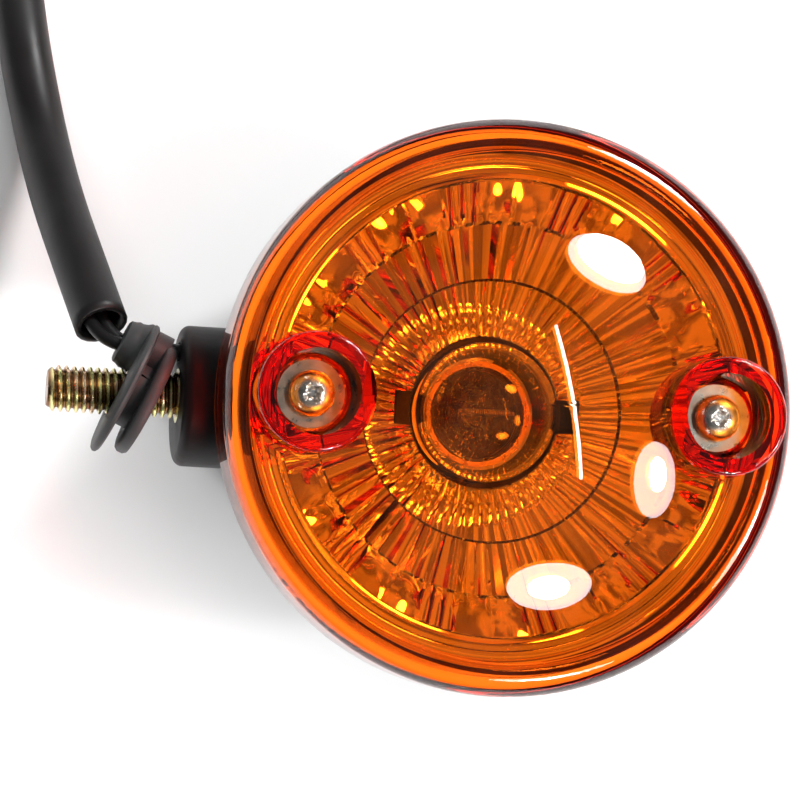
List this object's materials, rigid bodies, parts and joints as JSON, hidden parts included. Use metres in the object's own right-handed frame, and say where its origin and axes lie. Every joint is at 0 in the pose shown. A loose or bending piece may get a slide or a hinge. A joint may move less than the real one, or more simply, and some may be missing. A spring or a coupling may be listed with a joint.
{
  "type": "turn signal indicator",
  "caption": "Round amber turn signal lamp with a black bowl housing, side mounting stud, rubber grommet and a sleeved two-wire lead.",
  "frame": {"origin": "on the lens axis, on the flat back face of the housing", "axes": "+Z along the lens axis, out through the lens; -X along the mounting stud, out of the boss"},
  "size_m": [0.1066, 0.1279, 0.0605],
  "materials": {
    "amber_lens": "clear amber moulding, glossy",
    "black_housing": "satin black moulding",
    "seal_foam": "soft black seal",
    "brass": "plain brass",
    "reflector_chrome": "vacuum metallised moulding",
    "yellow_zinc": "yellow passivated zinc plate",
    "screw_nickel": "nickel plated",
    "washer_steel": "plain steel",
    "socket_steel": "tinned steel",
    "phenolic": "pressed board",
    "spring_steel": "drawn wire",
    "bulb_glass": "clear blown glass",
    "cap_brass": "nickel washed brass cap",
    "cap_vitrite": "black glass insulator",
    "solder": "solder",
    "tungsten": "drawn wire",
    "grommet_rubber": "satin dark grey rubber",
    "wire_black": "black wire insulation",
    "sleeve_vinyl": "satin black vinyl",
    "cover_vinyl": "clear vinyl"
  },
  "bodies": {
    "root": {"housing": "black_housing", "lens_gasket": "seal_foam", "thread_inserts": "brass", "reflector": "reflector_chrome", "mounting_stud": "yellow_zinc", "socket_shell": "socket_steel", "socket_base": "phenolic", "feed_terminal": "brass", "ground_terminal": "socket_steel", "contact_spring": "spring_steel", "inner_feed_wire": "wire_black", "inner_ground_wire": "wire_black"},
    "lens": {"lens": "amber_lens", "screw_washer_left": "washer_steel", "screw_washer_right": "washer_steel"},
    "left_screw": {"lens_screw_left": "screw_nickel"},
    "right_screw": {"lens_screw_right": "screw_nickel"},
    "bulb": {"bulb_glass": "bulb_glass", "bulb_cap": "cap_brass", "bulb_pins": "cap_brass", "bulb_cap_insulator": "cap_vitrite", "bulb_contact": "solder", "bulb_mount": "bulb_glass", "filament_leads": "tungsten", "filament": "tungsten"},
    "contact": {"contact_carrier": "phenolic", "contact_rivet": "brass"},
    "lead": {"grommet": "grommet_rubber", "feed_wire": "wire_black", "ground_wire": "wire_black", "lead_sleeve": "sleeve_vinyl", "feed_bullet": "brass", "ground_bullet": "brass", "feed_bullet_cover": "cover_vinyl", "ground_bullet_cover": "cover_vinyl"}
  },
  "joints": [
    {"name": "lens_lift", "type": "slide", "parent": "root", "child": "lens", "axis": [0, 0, 1], "range_m": [0, 0.03]},
    {"name": "left_screw_turn", "type": "hinge", "parent": "lens", "child": "left_screw", "pos_m": [-0.0256, 0, 0.05], "axis": [0, 0, 1], "continuous": true},
    {"name": "right_screw_turn", "type": "hinge", "parent": "lens", "child": "right_screw", "pos_m": [0.0256, 0, 0.05], "axis": [0, 0, 1], "continuous": true},
    {"name": "bulb_press", "type": "slide", "parent": "root", "child": "bulb", "axis": [0, 0, -1], "range_m": [0, 0.0014], "stiffness_N_per_m": 2500},
    {"name": "contact_press", "type": "slide", "parent": "root", "child": "contact", "axis": [0, 0, -1], "range_m": [0, 0.0014], "deforming": ["contact_spring"]},
    {"name": "grommet_slide", "type": "slide", "parent": "root", "child": "lead", "axis": [-1, 0, 0], "range_m": [0, 0.003]}
  ],
  "couplings": [
    {"joint": "contact_press", "follows": "bulb_press", "ratio": 1}
  ]
}
